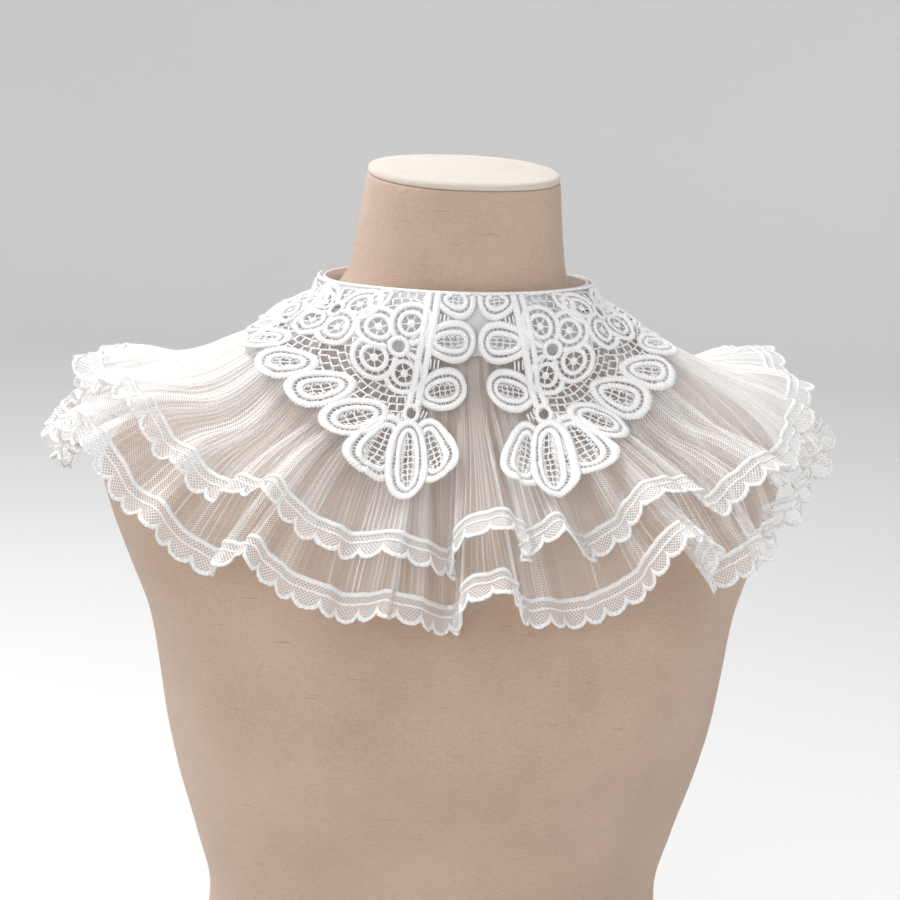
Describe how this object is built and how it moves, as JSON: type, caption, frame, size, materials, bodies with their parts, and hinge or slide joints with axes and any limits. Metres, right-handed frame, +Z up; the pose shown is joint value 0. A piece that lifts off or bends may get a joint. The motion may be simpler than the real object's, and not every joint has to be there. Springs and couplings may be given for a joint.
{
  "type": "tulle capelet on a dress form",
  "caption": "Tiered pleated tulle capelet with scalloped lace edgings, satin neck band and guipure lace collar, worn on a limbless linen dress form with a flat base.",
  "frame": {"origin": "centre of the form's flat base, on the surface that it stands on", "axes": "+Z up; the wearer's front faces -Y; the wearer's left is +X"},
  "size_m": [0.4513, 0.3337, 0.5239],
  "materials": {
    "linen": "matte woven linen",
    "linen_cap": "matte woven linen, bleached",
    "satin": "soft satin sheen",
    "tulle": "sheer pleated net",
    "edging": "matte cotton lace",
    "guipure": "matte raised embroidery",
    "pearl": "soft gloss"
  },
  "bodies": {
    "root": {"form_torso": "linen", "form_neck_cap": "linen_cap", "neck_band": "satin", "band_button": "pearl", "yoke": "satin", "lower_tier": "tulle", "upper_tier": "tulle", "lower_edging": "edging", "upper_edging": "edging", "lace_left": "guipure", "lace_right": "guipure"}
  },
  "joints": []
}
